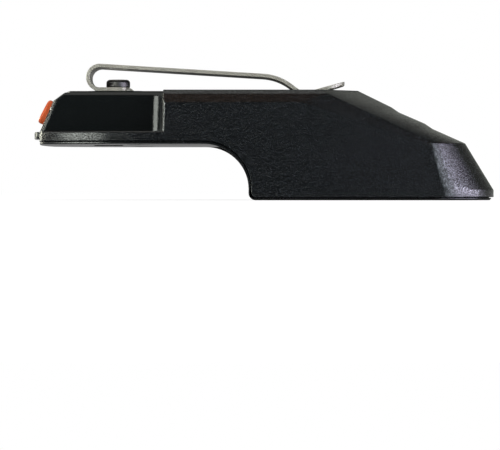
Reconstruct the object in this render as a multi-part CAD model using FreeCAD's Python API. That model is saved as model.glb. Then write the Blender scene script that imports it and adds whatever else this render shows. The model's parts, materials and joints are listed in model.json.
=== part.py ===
import FreeCAD
import Part
import math
import os

# A slide-on battery adapter with a belt clip. Millimetres.
# +X points to the closed rear end, +Y to the left, +Z up. The origin lies under
# the middle of the whole part, on the plane that the skirts' rim stands on.

Vector = FreeCAD.Vector

# Overall form
overall_length = 124.0
overall_width = 74.0
top_height = 29.2
shell_wall = 2.4
fit_gap = 0.15
screw_gap = 0.05      # round a shank in its bore
hole_gap = 0.15       # round a screw that passes through
seat_gap = 0.05       # between faces that a screw draws together
sheet_fit = 0.02      # an insert inside its sleeve
overrun = 1.0         # what a cutter or a join reaches past its face
far = 200.0           # past the whole part

# Underside: a high deck in front, skirts at the rear
deck_height = 14.9
deck_thickness = 1.5
skirt_setback = 58.5
skirt_curve = 12.0
skirt_corner = 1.9
rim_height = 0.8
rim_inset = 0.6
flange_rim_inset = 0.15
rim_groove_height = 0.2
rim_groove_depth = 0.5
rim_chamfer = 0.4

# Front flange and the lip in its middle
flange_thickness = 2.5
flange_edge_fillet = 0.45
flange_bow = 1.9
flange_bend_lead = 0.1
flange_slow_radius = 150.0
flange_slow_angle = 5.0
flange_fast_radius = 30.0
lip_reach = 1.55
lip_width = 24.0
lip_thickness = 1.9
lip_rise = 0.2
lip_root = 4.0
lip_bow = 1.2
lip_corner = 0.5

# Nose and the step behind it
nose_width = 54.0
nose_length = 32.25
nose_bow = 1.8
nose_corner = 0.8
nose_drop = 0.5
nose_edge_chamfer = 0.7
plateau_height = 0.4
plateau_margin = 1.6
plateau_setback = 0.9
facet_height = 2.0
facet_depth = 2.7
slope_depth = 3.7
slope_wall_drop = 0.72
step_lean = 0.4
step_fillet = 3.2
step_edge_radius = 0.8

# Faceted rear end of the body
band_height = 2.7
end_face_depth = 7.85
end_face_top = 15.1
roof_setback = 36.3
lower_chevron_drop = 8.8
upper_chevron_drop = 4.4
chevron_height = 1.4
chevron_sink = 0.8
corner_foot_length = 14.4
corner_foot_width = 14.0
corner_foot_bulge = 0.17
corner_mid_length = 9.95
corner_mid_width = 10.0
corner_mid_bulge = 0.16
corner_roof_length = 12.0
corner_roof_width = 13.2
corner_roof_bulge = 0.03
wide_chamfer_height = 2.3
wide_chamfer_width = 0.9
small_chamfer = 1.1
hip_chamfer_lead = 5.5
hip_foot_drop = 0.4
form_joint_lead = 6.0      # where the nose's inside ends within the body

# Battery bay between the skirts
bay_setback = 28.0
side_wall = 4.8
rail_reach = 5.2
rail_setback = 3.0
rail_bottom = 3.5
rail_thickness = 3.0
rail_lead = 4.0
bay_wall = 2.0
floor_thickness = 2.0
tray_wall = 2.0
tray_wall_top = 9.6
latch_setback = 16.0
latch_length = 8.0
latch_width = 18.0
latch_depth = 1.5
latch_wall = 1.0
latch_roof = 0.6

# Screws that hold the shell to the frame, and their bosses
boss_radius = 4.5
shell_boss_radius = 3.5
boss_height = 3.6
rear_boss_height = 6.0
housing_screw_radius = 1.5
housing_screw_head_radius = 2.8
housing_screw_head_height = 2.0
housing_screw_length = 7.0
head_recess = 3.1
head_gap = 0.3
bore_depth_gap = 0.5
front_screw_lead = 6.6
front_screw_inset = 7.5
middle_screw_lead = 18.0
middle_screw_inset = 14.5
rear_screw_setback = 17.0
rear_screw_inset = 19.0

# Proportions of every pan head screw, as parts of its head and of its shank
head_edge_share = 0.42
head_foot_share = 0.2
socket_radius_share = 0.4
socket_floor_share = 0.44
shank_tip_share = 0.35

# Main board
board_clearance = 1.2
board_thickness = 1.6
board_setback = 8.0
board_tail = 2.5
board_nose_inset = 3.2
board_side_inset = 6.0
board_corner = 2.0
shoulder_lead = 3.9
notch_length = 8.0
notch_width = 15.4
boss_margin = 0.5
board_screw_radius = 1.25
board_screw_head_radius = 2.3
board_screw_head_height = 1.7
board_screw_length = 4.0
board_screw_inset = 10.0
front_board_screw_lead = 4.0
rear_board_screw_lead = 5.5
standoff_radius = 3.0

# Components on the main board
core_size = 10.0
core_height = 5.2
core_chamfer = 1.2
core_foot_length = 1.3
core_foot_reach = 0.3
core_foot_width = 3.2
core_foot_height = 1.6
input_can_radius = 4.0
input_can_height = 6.3
output_can_radius = 3.15
output_can_height = 5.6
can_foot_margin = 0.25
can_foot_height = 0.8
can_groove_low = 0.5
can_groove_height = 0.6
can_groove_depth = 0.35
can_edge = 0.3
can_corner_share = 0.35
chip_length = 5.0
chip_width = 4.0
chip_height = 1.6
chip_leads = 4
diode_length = 6.0
diode_width = 6.8
diode_height = 2.3
diode_leads = 1
package_standoff = 0.1
package_chamfer = 0.25
lead_width = 0.5
lead_reach = 1.1
lead_root = 0.3
lead_height = 0.35
fuse_length = 10.0
fuse_radius = 1.7
fuse_cap_radius = 2.1
fuse_cap_length = 2.2
fuse_axis_height = 2.2
fuse_foot_length = 1.4
fuse_foot_width = 2.4
fuse_foot_height = 1.2
core_offset = 11.5
output_can_offset = 8.5
input_can_pitch = 12.0
diode_side_inset = 13.5
fuse_offset = 9.0
output_can_share = 0.275      # of the board's length, from its front
core_share = 0.444
diode_share = 0.561
chip_share = 0.573
input_can_share = 0.690
fuse_share = 0.848

# Power sockets in the sloped front
socket_offset = 17.0
socket_setback = 5.6
socket_width = 13.1
socket_height = 5.7
socket_length = 14.2
socket_sheet = 0.3
socket_corner = 0.6
window_margin = 0.45
window_corner = 0.9
window_reach = 4.0
spring_setback = 2.5
spring_length = 4.5
spring_width = 2.2
spring_slit = 0.35
spring_pitch = 6.0
tongue_start = 1.6
tongue_thickness = 1.84
tongue_width = 11.1
tongue_chamfer = 0.4
insert_block_start = 9.5
contact_width = 1.2
contact_tail_width = 0.8
contact_thickness = 0.25
contact_pitch = 2.3
contact_setback = 0.6
contact_rear = 1.2
contact_protrusion = 0.6
leg_gap = 0.1
leg_length = 2.2
leg_width = 1.8
front_leg_place = 4.0
rear_leg_place = 11.0

# Push button on the slope and the switch behind it
button_drop = 3.3
button_width = 13.0
button_height = 6.95
button_corner = 2.2
button_proud = 1.55
button_tilt = 0.25
button_edge_fillet = 0.75
button_flange = 1.0
button_flange_thickness = 1.0
button_flange_depth = 2.85
button_flange_corner = 1.4
button_travel = 0.8
travel_reserve = 0.1
stem_radius = 2.0
stem_length = 1.1
plunger_radius = 1.5
plunger_length = 2.3
switch_size = 6.0
switch_depth = 3.2
switch_chamfer = 0.5
switch_board_thickness = 1.0
switch_board_width = 14.6
switch_board_below = 3.1
switch_board_above = 3.4
switch_board_corner = 0.8
cradle_thickness = 1.5
cradle_offset = 3.0
cradle_above = 1.0
header_offset = 5.2
header_pitch = 1.8
header_pin_size = 0.64
header_block_lead = 0.3
header_block_length = 2.6
header_block_height = 2.5
pin_gap = 0.1
pin_protrusion = 0.4

# Belt clip, bent from one spring steel strip
clip_thickness = 1.0
clip_width = 18.0
clip_pad_height = 0.5
clip_pad_margin = 1.0
clip_pad_lead = 3.0
clip_pad_tail = 4.5
clip_pad_corner = 2.0
clip_setback = 18.1
clip_bend_radius = 3.2
clip_arm_fall = 3.5
clip_tail_length = 25.35
clip_drop_radius = 14.0
clip_drop_angle = 36.5
clip_drop_length = 3.0
clip_valley_radius = 2.5
clip_tip_angle = 15.5
clip_tip_length = 10.7
clip_corner = 5.0
tab_length = 7.4
tab_corner = 1.5
tongue_neck_width = 8.0
tongue_bend_radius = 1.6
tongue_bend_angle = 60.0
tongue_tail = 0.9
tongue_slot_length = 2.9
tongue_slot_depth = 2.4
tongue_slot_gap = 0.3
clip_screw_lead = 4.7
clip_screw_radius = 1.75
clip_screw_head_radius = 3.25
clip_screw_head_height = 2.3
clip_screw_length = 7.0
clip_nut_radius = 2.6
clip_nut_length = 5.6
clip_nut_groove = 0.3
clip_nut_groove_length = 1.12
clip_nut_boss_radius = 4.3
clip_access_radius = 4.0
valley_pocket_lead = 6.1
valley_pocket_length = 10.0
valley_pocket_depth = 1.4
valley_pocket_corner = 1.5
valley_pad_thickness = 1.0
valley_pad_margin = 2.0

# Terminal block and blades
block_length = 10.0
block_half_width = 18.0
block_height = 7.9
block_chamfer = 0.6
block_screw_offset = 15.5
block_groove_width = 2.4
block_groove_length = 4.0
block_groove_roof = 2.0
blade_thickness = 0.8
blade_height = 5.5
blade_reach = 14.0
blade_nose_cut = 1.5
blade_tail_start = 3.0
blade_tail_width = 4.0
blade_tail_rise = 0.8
blade_board_gap = 0.2
blade_frame_gap = 0.3
power_blade_offset = 11.0
signal_blade_offset = 3.7
terminal_screw_radius = 1.25
terminal_screw_head_radius = 2.4
terminal_screw_head_height = 1.8
terminal_screw_length = 9.8
terminal_bore_gap = 0.2

# Places that follow from the sizes above
half_width = overall_width / 2
rear_end = overall_length / 2
lip_tip = -overall_length / 2
flange_front_middle = lip_tip + lip_reach
flange_front = flange_front_middle + flange_bow
flange_top = deck_height + rim_height + flange_thickness
deck_top = deck_height + deck_thickness
nose_half_width = nose_width / 2
nose_front = flange_front_middle + nose_bow
nose_top_height = top_height - nose_drop
slope_break_height = nose_top_height - facet_height
slope_break = nose_front + slope_depth
step_position = nose_front + nose_length
form_joint = step_position + form_joint_lead
skirt_front = lip_tip + skirt_setback
flange_bend_start = step_position - flange_bend_lead
end_face_position = rear_end - end_face_depth
roof_end = rear_end - roof_setback
roof_rate = (end_face_position - roof_end) / (top_height - end_face_top)
pad_top = nose_top_height + plateau_height + clip_pad_height

bay_rear = rear_end - bay_setback
bay_half_width = half_width - side_wall
rail_gap_half_width = bay_half_width - rail_reach
rail_front = skirt_front + rail_setback
latch_front = lip_tip + latch_setback
block_front = bay_rear - block_length
block_screw_x = bay_rear - block_length / 2
block_bottom = deck_height - block_height

board_bottom = deck_top + board_clearance
board_top = board_bottom + board_thickness
board_front = lip_tip + board_setback
board_rear = bay_rear - board_tail
board_nose_half_width = nose_half_width - board_nose_inset
board_half_width = half_width - board_side_inset
board_shoulder = step_position + shoulder_lead
notch_rear = board_front + notch_length
socket_mouth = lip_tip + socket_setback
socket_low = board_top + seat_gap
contact_end = socket_mouth + socket_length + contact_rear

clip_bend_center = lip_tip + clip_setback
clip_screw_x = clip_bend_center + clip_screw_lead
clip_floor = pad_top + clip_thickness / 2
clip_bend_height = clip_floor + clip_bend_radius
clip_arm_length = roof_end - clip_bend_center - clip_tail_length
valley_pocket_front = clip_bend_center + clip_arm_length + valley_pocket_lead
clip_nut_bottom = pad_top - clip_nut_length


def box(x0, x1, y0, y1, z0, z1):
    """Axis-aligned box between two corners."""
    return Part.makeBox(x1 - x0, y1 - y0, z1 - z0, Vector(x0, y0, z0))


def line(a, b):
    return Part.makeLine(a, b)


def arc(a, b, c):
    return Part.Arc(a, b, c).toShape()


def polygon(points):
    """Closed flat face through the points."""
    return Part.Face(Part.makePolygon(list(points) + [points[0]]))


def mirrored(shape):
    """Copy on the other side of the middle plane."""
    return shape.mirror(Vector(0, 0, 0), Vector(0, 1, 0))


def both_sides(shape):
    return [shape, mirrored(shape)]


def two_sides(place):
    """The same place on both sides."""
    x, y = place
    return [(x, y), (x, -y)]


def joined(shapes):
    """One solid made of pieces that share material."""
    shapes = list(shapes)
    return shapes[0].multiFuse(shapes[1:]).removeSplitter()


def single(shape):
    """The one solid inside a boolean result."""
    solids = shape.Solids
    if len(solids) != 1:
        raise ValueError("expected one solid, found %d" % len(solids))
    return solids[0]


def post(x, y, radius, z0, z1):
    return Part.makeCylinder(radius, z1 - z0, Vector(x, y, z0))


def edges_along(shape, axis):
    """Straight edges that run in a direction."""
    return [edge for edge in shape.Edges if abs(edge.tangentAt(edge.FirstParameter).dot(axis)) > 0.9]


def rounded_box(x0, x1, y0, y1, z0, z1, radius):
    """Box with rounded upright edges."""
    body = box(x0, x1, y0, y1, z0, z1)
    return body.makeFillet(radius, edges_along(body, Vector(0, 0, 1)))


def ruled_stack(wires):
    """Solid through a pile of outlines, with straight sides between neighbours."""
    slices = [Part.makeLoft([low, high], True, True) for low, high in zip(wires, wires[1:])]
    return joined(slices) if len(slices) > 1 else slices[0]


def turned(radius):
    """How far the middle of a quarter round lies from the corner that it cuts."""
    return radius * (1 - math.sqrt(0.5))


# Outlines of the body, the nose and the flange, seen from above

def roof_x(height):
    """Rear slope's place at a height, without the chevrons."""
    return roof_end + (top_height - height) * roof_rate


def share(height):
    """0 at the foot of the rear slope, 1 at the roof."""
    return (height - end_face_top) / (top_height - end_face_top)


def body_outline(z, rear, length, width, bulge, inset):
    """Body's outline at a height: small front corners, cut rear corners that swell by bulge."""
    half = half_width - inset
    lean = step_lean * (z - flange_top) / (top_height - flange_top)
    front = step_position + inset + lean
    radius = step_edge_radius
    turn = turned(radius)
    start = Vector(rear - inset - length, -half, z)
    end = Vector(rear - inset, width - half, z)
    chord = end - start
    middle = (start + end) * 0.5 + Vector(chord.y, -chord.x, 0) * bulge
    front_low = Vector(front, radius - half, z)
    front_turn = Vector(front + turn, turn - half, z)
    front_side = Vector(front + radius, -half, z)
    right = [front_low, front_turn, front_side, start, middle, end]
    left = [Vector(p.x, -p.y, p.z) for p in right]
    edges = [line(left[0], right[0]), arc(right[0], right[1], right[2]), line(right[2], right[3]),
             arc(right[3], right[4], right[5]), line(right[5], left[5]), arc(left[5], left[4], left[3]),
             line(left[3], left[2]), arc(left[2], left[1], left[0])]
    return Part.Wire(edges)


def foot_outline(z, inset):
    """Outline below the rear slope."""
    return body_outline(z, rear_end, corner_foot_length, corner_foot_width, corner_foot_bulge, inset)


def slope_outline(height, sink, inset):
    """Outline on the rear slope, moved in by sink where a chevron starts."""
    part = share(height)
    length = corner_mid_length + (corner_roof_length - corner_mid_length) * part - sink
    width = corner_mid_width + (corner_roof_width - corner_mid_width) * part
    bulge = corner_mid_bulge + (corner_roof_bulge - corner_mid_bulge) * part
    return body_outline(height - inset, roof_x(height) - sink, length, width, bulge, inset)


def body_form(inset, bottom):
    """Body from a height up to its roof. The inset moves every side, the slope and the roof in."""
    wires = [foot_outline(bottom, inset), foot_outline(band_height, inset)]
    wires.append(slope_outline(end_face_top, 0, inset))
    for drop in (lower_chevron_drop, upper_chevron_drop):
        height = top_height - drop
        wires.append(slope_outline(height - chevron_height, chevron_sink, inset))
        wires.append(slope_outline(height, 0, inset))
    wires.append(slope_outline(top_height, 0, inset))
    return ruled_stack(wires)


def crown_cutter():
    """Both chamfers along one upper side of the body."""
    middle_height = top_height - small_chamfer
    low = Vector(step_position - far, -half_width, middle_height - wide_chamfer_height)
    middle = Vector(low.x, wide_chamfer_width - half_width, middle_height)
    high = Vector(low.x, middle.y + small_chamfer, top_height)
    above = Vector(low.x, high.y, top_height + far)
    outside = Vector(low.x, -half_width - far, above.z)
    beside = Vector(low.x, outside.y, low.z)
    return polygon([low, middle, high, above, outside, beside]).extrude(Vector(2 * far, 0, 0))


def hip_cutter():
    """Slanting chamfer that carries the wide one down beside the rear slope."""
    low_height = top_height - small_chamfer - wide_chamfer_height
    hip_top = roof_x(top_height - small_chamfer) - corner_roof_length
    a = Vector(hip_top, wide_chamfer_width - half_width, top_height - small_chamfer)
    b = Vector(hip_top - hip_chamfer_lead, -half_width, low_height)
    c = Vector(end_face_position - corner_mid_length, -half_width, end_face_top - hip_foot_drop)
    normal = (b - a).cross(c - a).normalize()
    if normal.y > 0:
        normal = normal * -1
    slab = Part.makeBox(2 * far, 2 * far, far, Vector(-far, -far, 0))
    slab.Placement = FreeCAD.Placement(a, FreeCAD.Rotation(Vector(0, 0, 1), normal))
    return slab.common(box(b.x - overrun, c.x, -far, 0, 0, far))


def front_line(height):
    """Nose front's place at a height: an upright foot, the slope, then the facet."""
    if height <= flange_top:
        return nose_front
    if height <= slope_break_height:
        return nose_front + slope_depth * (height - flange_top) / (slope_break_height - flange_top)
    return slope_break + facet_depth * (height - slope_break_height) / facet_height


def nose_outline(z, front, inset, back):
    """Nose outline: bowed front, rounded corners and straight sides."""
    half = nose_half_width - inset
    radius = nose_corner
    turn = turned(radius)
    right = [Vector(back, -half, z), Vector(front + radius, -half, z), Vector(front + turn, turn - half, z),
             Vector(front, radius - half, z)]
    left = [Vector(p.x, -p.y, p.z) for p in right]
    middle = Vector(front - nose_bow, 0, z)
    edges = [line(left[0], right[0]), line(right[0], right[1]), arc(right[1], right[2], right[3]),
             arc(right[3], middle, left[3]), arc(left[3], left[2], left[1]), line(left[1], left[0])]
    return Part.Wire(edges)


def nose_form(inset, drop, bottom):
    """Nose from a height up to its roof. A wall's inside is moved in by inset and down by drop."""
    wires = [nose_outline(bottom, nose_front + inset, inset, form_joint)]
    for height in (flange_top, slope_break_height):
        wires.append(nose_outline(height - drop, front_line(height) + inset, inset, form_joint))
    roof = nose_top_height - inset
    wires.append(nose_outline(roof, front_line(roof + drop) + inset, inset, form_joint))
    return ruled_stack(wires)


def nose_edge_cutter():
    """Chamfer along one upper side of the nose."""
    low = Vector(nose_front - far, -nose_half_width, nose_top_height - nose_edge_chamfer)
    high = Vector(low.x, nose_edge_chamfer - nose_half_width, nose_top_height)
    above = Vector(low.x, high.y, high.z + overrun)
    outside = Vector(low.x, low.y - overrun, above.z)
    beside = Vector(low.x, outside.y, low.z)
    return polygon([low, high, above, outside, beside]).extrude(Vector(2 * far, 0, 0))


def nose_plateau():
    """Low raised field on the nose's roof, which the clip stands on."""
    front = front_line(nose_top_height) + plateau_setback
    outline = nose_outline(nose_top_height - overrun, front, plateau_margin, form_joint)
    return Part.Face(outline).extrude(Vector(0, 0, overrun + plateau_height))


def flange_outline(z, inset):
    """Deck and flange outline: bowed front, sides that bend in towards it, straight rear."""
    slow = math.radians(flange_slow_angle)
    bend_x = flange_bend_start - flange_slow_radius * math.sin(slow)
    bend_y = -half_width + flange_slow_radius * (1 - math.cos(slow))
    reach = (bend_x - flange_front) / flange_fast_radius + math.sin(slow)
    fast = math.asin(reach)

    def on_bend(angle):
        x = bend_x - flange_fast_radius * (math.sin(angle) - math.sin(slow))
        y = bend_y + flange_fast_radius * (math.cos(slow) - math.cos(angle))
        return Vector(x, y, z)

    half_slow = slow / 2
    slow_middle = Vector(flange_bend_start - flange_slow_radius * math.sin(half_slow),
                         -half_width + flange_slow_radius * (1 - math.cos(half_slow)), z)
    right = [Vector(form_joint, -half_width, z), Vector(flange_bend_start, -half_width, z), slow_middle,
             on_bend(slow), on_bend((slow + fast) / 2), on_bend(fast)]
    left = [Vector(p.x, -p.y, p.z) for p in right]
    edges = [line(left[0], right[0]), line(right[0], right[1]), arc(right[1], right[2], right[3]),
             arc(right[3], right[4], right[5]), arc(right[5], Vector(flange_front_middle, 0, z), left[5]),
             arc(left[5], left[4], left[3]), arc(left[3], left[2], left[1]), line(left[1], left[0])]
    wire = Part.Wire(edges)
    return wire.makeOffset2D(-inset) if inset else wire


def flange_form(bottom, top, inset):
    return Part.Face(flange_outline(bottom, inset)).extrude(Vector(0, 0, top - bottom))


def lip_form():
    """Thumb lip in the middle of the flange, with a bowed front edge."""
    top = flange_top + lip_rise
    half = lip_width / 2
    points = [Vector(flange_front_middle + lip_root, -half, top), Vector(lip_tip + lip_bow, -half, top),
              Vector(lip_tip, 0, top), Vector(lip_tip + lip_bow, half, top),
              Vector(flange_front_middle + lip_root, half, top)]
    edges = [line(points[0], points[1]), arc(*points[1:4]), line(points[3], points[4]),
             line(points[4], points[0])]
    lip = Part.Face(Part.Wire(edges)).extrude(Vector(0, 0, -lip_thickness))
    corners = [edge for edge in edges_along(lip, Vector(0, 0, 1))
               if edge.CenterOfMass.x < flange_front_middle]
    return lip.makeFillet(lip_corner, corners)


def underside(lift):
    """Everything below the deck and the skirts' edge, raised by lift."""
    curve = skirt_curve + lift
    corner = skirt_corner - lift
    front = skirt_front + lift
    deck = deck_height + lift
    center_x = front - curve
    center_z = deck - curve
    reach = curve * math.sqrt(0.5)
    points = [Vector(-far, -far, -far), Vector(-far, -far, deck), Vector(center_x, -far, deck),
              Vector(center_x + reach, -far, center_z + reach), Vector(front, -far, center_z),
              Vector(front, -far, lift + corner),
              Vector(front + turned(corner), -far, lift + turned(corner)),
              Vector(front + corner, -far, lift), Vector(far, -far, lift), Vector(far, -far, -far)]
    edges = [line(points[0], points[1]), line(points[1], points[2]), arc(*points[2:5]),
             line(points[4], points[5]), arc(*points[5:8]), line(points[7], points[8]),
             line(points[8], points[9]), line(points[9], points[0])]
    return Part.Face(Part.Wire(edges)).extrude(Vector(0, 2 * far, 0))


# Places on the slope of the nose, used by the button and its switch

slope_angle = math.atan2(slope_break_height - flange_top, slope_depth)
inward = Vector(math.sin(slope_angle), 0, -math.cos(slope_angle))
upward = Vector(math.cos(slope_angle), 0, math.sin(slope_angle))
button_center = Vector(slope_break - nose_bow, 0, slope_break_height) - upward * button_drop
switch_start = (button_flange_depth + button_flange_thickness + stem_length + button_travel
                + travel_reserve)
switch_board_start = switch_start + switch_depth


def slope_placed(body, depth):
    """Moves a body from its own axes (width, height, depth) onto the slope."""
    width_axis = upward.cross(inward)
    matrix = FreeCAD.Matrix(width_axis.x, upward.x, inward.x, 0, width_axis.y, upward.y, inward.y, 0,
                            width_axis.z, upward.z, inward.z, 0, 0, 0, 0, 1)
    place = FreeCAD.Placement(matrix)
    place.Base = button_center + inward * depth
    moved = body.copy()
    moved.Placement = place.multiply(moved.Placement)
    return moved


def on_slope(depth, width, low, high, length, corner=0.0):
    """Rounded block that starts at a depth below the slope and runs inward."""
    body = box(-width / 2, width / 2, low, high, 0, length)
    if corner:
        body = body.makeFillet(corner, edges_along(body, Vector(0, 0, 1)))
    return slope_placed(body, depth)


def slope_post(radius, depth, length):
    return Part.makeCylinder(radius, length, button_center + inward * depth, inward)


# Screws

def pan_screw(x, y, seat, direction, head_radius, head_height, radius, length):
    """Flat pan head with rounded edges and a six-sided socket, and a shank away from its seat."""
    foot = head_height * head_foot_share
    edge = head_height * head_edge_share
    profile = [Vector(0, 0, 0), Vector(head_radius - foot, 0, 0),
               Vector(head_radius - turned(foot), 0, turned(foot)), Vector(head_radius, 0, foot),
               Vector(head_radius, 0, head_height - edge),
               Vector(head_radius - turned(edge), 0, head_height - turned(edge)),
               Vector(head_radius - edge, 0, head_height), Vector(0, 0, head_height)]
    edges = [line(profile[0], profile[1]), arc(*profile[1:4]), line(profile[3], profile[4]),
             arc(*profile[4:7]), line(profile[6], profile[7]), line(profile[7], profile[0])]
    head = Part.Face(Part.Wire(edges)).revolve(Vector(0, 0, 0), Vector(0, 0, 1), 360)
    corners = []
    for turn in range(6):
        angle = math.radians(60 * turn)
        across = Vector(math.cos(angle), math.sin(angle), 0) * socket_radius_share
        corners.append((across + Vector(0, 0, socket_floor_share)) * head_radius)
    recess = polygon(corners).extrude(Vector(0, 0, head_height))
    shank = Part.makeCylinder(radius, length, Vector(0, 0, -length))
    tip = min(shank.Edges, key=lambda edge: edge.CenterOfMass.z)
    shank = shank.makeChamfer(radius * shank_tip_share, [tip])
    screw = single(head.fuse(shank).cut(recess))
    screw.Placement = FreeCAD.Placement(Vector(x, y, seat), FreeCAD.Rotation(Vector(0, 0, 1), direction))
    return screw


def deck_screw_places():
    """Screws that rise through the deck into the shell."""
    front = (step_position - front_screw_lead, nose_half_width - front_screw_inset)
    middle = (bay_rear - middle_screw_lead, half_width - middle_screw_inset)
    return two_sides(front) + two_sides(middle)


def rear_screw_places():
    return two_sides((rear_end - rear_screw_setback, half_width - rear_screw_inset))


def board_screw_places():
    y = half_width - board_screw_inset
    return two_sides((board_shoulder + front_board_screw_lead, y)) + two_sides((board_rear
                                                                              - rear_board_screw_lead, y))


def block_screw_places():
    return two_sides((block_screw_x, block_screw_offset))


# Housing shell

def window(side):
    """Opening for a socket through the slope."""
    middle = side * socket_offset
    half = socket_width / 2 + window_margin
    body = box(nose_front - far, socket_mouth + window_reach, middle - half, middle + half,
               socket_low - window_margin, socket_low + socket_height + window_margin)
    return body.makeFillet(window_corner, edges_along(body, Vector(1, 0, 0)))


def step_fillet_form():
    """Hollow round that joins the nose's side to the body's front wall."""
    wires = []
    for height in (flange_top - overrun, nose_top_height - nose_edge_chamfer):
        lean = step_lean * (height - flange_top) / (top_height - flange_top)
        wall = step_position + lean
        start = Vector(wall - step_fillet, -nose_half_width, height)
        end = Vector(wall, -nose_half_width - step_fillet, height)
        middle = Vector(end.x - turned(step_fillet), start.y - turned(step_fillet), height)
        outside = Vector(wall + overrun, end.y, height)
        inside = Vector(outside.x, start.y + overrun, height)
        back = Vector(start.x, inside.y, height)
        wires.append(Part.Wire([arc(start, middle, end), line(end, outside), line(outside, inside),
                                line(inside, back), line(back, start)]))
    return Part.makeLoft(wires, True, True)


def shell_outside():
    body = body_form(0, rim_height)
    for cutter in both_sides(crown_cutter()) + both_sides(hip_cutter()):
        body = body.cut(cutter)
    nose = nose_form(0, 0, flange_top - overrun)
    for cutter in both_sides(nose_edge_cutter()):
        nose = nose.cut(cutter)
    flange = flange_form(deck_height + rim_height, flange_top, 0)
    top_edges = [edge for edge in flange.Edges
                 if edge.CenterOfMass.z > flange_top - fit_gap and edge.CenterOfMass.x < step_position]
    flange = flange.makeFillet(flange_edge_fillet, top_edges)
    pad_half_width = clip_width / 2 + clip_pad_margin
    pad = rounded_box(clip_bend_center - clip_pad_lead, clip_bend_center + tab_length + clip_pad_tail,
                      -pad_half_width, pad_half_width, nose_top_height - overrun, pad_top, clip_pad_corner)
    outer = joined([body, nose, nose_plateau(), flange, lip_form(), pad] + both_sides(step_fillet_form()))
    return outer.cut(underside(rim_height))


def shell_hollow():
    body = body_form(shell_wall, 0)
    recess = flange_form(0, deck_top + seat_gap, shell_wall)
    return joined([body, nose_form(shell_wall, slope_wall_drop, 0), recess])


def shell_bosses(outer):
    """Posts for the screws and the clip's insert, and the thick place under the clip's valley."""
    inner_roof = top_height - shell_wall
    bosses = []
    for x, y in deck_screw_places():
        top = inner_roof if x > step_position else nose_top_height - shell_wall
        bosses.append(post(x, y, shell_boss_radius, deck_top + boss_height + seat_gap, top + overrun))
    for x, y in rear_screw_places():
        bosses.append(post(x, y, shell_boss_radius, rear_boss_height + seat_gap, far).common(outer))
    bosses.append(post(clip_screw_x, 0, clip_nut_boss_radius, clip_nut_bottom - overrun,
                       nose_top_height - shell_wall + overrun))
    pocket_rear = valley_pocket_front + valley_pocket_length
    pad_half_width = clip_width / 2 + clip_pad_margin + valley_pad_margin
    bosses.append(box(valley_pocket_front - valley_pad_margin, pocket_rear + valley_pad_margin,
                      -pad_half_width, pad_half_width, inner_roof - valley_pad_thickness,
                      inner_roof + overrun).common(outer))
    return bosses


def upper_housing():
    outer = shell_outside()
    shell = joined([outer.cut(shell_hollow())] + shell_bosses(outer))
    bore = housing_screw_radius + screw_gap
    for x, y in deck_screw_places():
        seat = deck_height + head_recess
        shell = shell.cut(post(x, y, bore, seat, seat + housing_screw_length + bore_depth_gap))
    for x, y in rear_screw_places():
        shell = shell.cut(post(x, y, bore, head_recess, head_recess + housing_screw_length + bore_depth_gap))
    shell = shell.cut(post(clip_screw_x, 0, clip_nut_radius, clip_nut_bottom, pad_top + overrun))
    shell = shell.cut(post(clip_screw_x, 0, clip_screw_radius + hole_gap, board_top, pad_top))
    slot_start = clip_bend_center + tab_length - tongue_slot_gap
    slot_half_width = tongue_neck_width / 2 + tongue_slot_gap
    slot = box(slot_start, slot_start + tongue_slot_length, -slot_half_width, slot_half_width,
               pad_top - tongue_slot_depth, pad_top + overrun)
    pocket_half_width = clip_width / 2 + clip_pad_margin
    pocket = rounded_box(valley_pocket_front, valley_pocket_front + valley_pocket_length,
                         -pocket_half_width, pocket_half_width, top_height - valley_pocket_depth,
                         top_height + overrun, valley_pocket_corner)
    half_height = button_height / 2 + fit_gap
    button_hole = on_slope(-button_proud - far, button_width + 2 * fit_gap, -half_height, half_height,
                           button_proud + far + switch_start, corner=button_corner + fit_gap)
    shell = shell.cut(slot).cut(pocket).cut(button_hole)
    for side in (-1, 1):
        shell = shell.cut(window(side))
    return single(shell)


# Frame with the battery bay

def rim_layer(flange_inset, body_inset, top):
    """Rim below the shell, moved in from its outside, up to a height above the deck and the skirts."""
    foot = ruled_stack([foot_outline(0, body_inset + rim_chamfer), foot_outline(rim_chamfer, body_inset),
                        foot_outline(band_height, body_inset)])
    skirts = foot.fuse(body_form(body_inset, rim_chamfer))
    layer = joined([skirts, flange_form(deck_height, deck_top, flange_inset)])
    return layer.common(underside(top))


def rail_frame():
    gap = shell_wall + fit_gap
    low_rim = rim_layer(flange_rim_inset, rim_inset, rim_height - rim_groove_height)
    high_rim = rim_layer(flange_rim_inset + rim_groove_depth, rim_inset + rim_groove_depth, rim_height)
    inner_block = joined([body_form(gap, rim_chamfer), flange_form(deck_height, deck_top, gap)])
    inner_block = inner_block.common(box(-far, far, -far, far, 0, deck_top))
    frame = joined([low_rim, high_rim, inner_block]).cut(underside(0))
    frame = frame.cut(box(-far, bay_rear, -bay_half_width, bay_half_width, -far, deck_height))
    tray_front = bay_rear + bay_wall
    tray = body_form(gap + tray_wall, floor_thickness)
    frame = frame.cut(tray.common(box(tray_front, far, -far, far, floor_thickness, far)))
    frame = frame.cut(box(tray_front, far, -far, far, tray_wall_top, far))
    frame = joined([frame] + frame_additions())
    for cutter in frame_cutters():
        frame = frame.cut(cutter)
    return single(frame)


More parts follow.
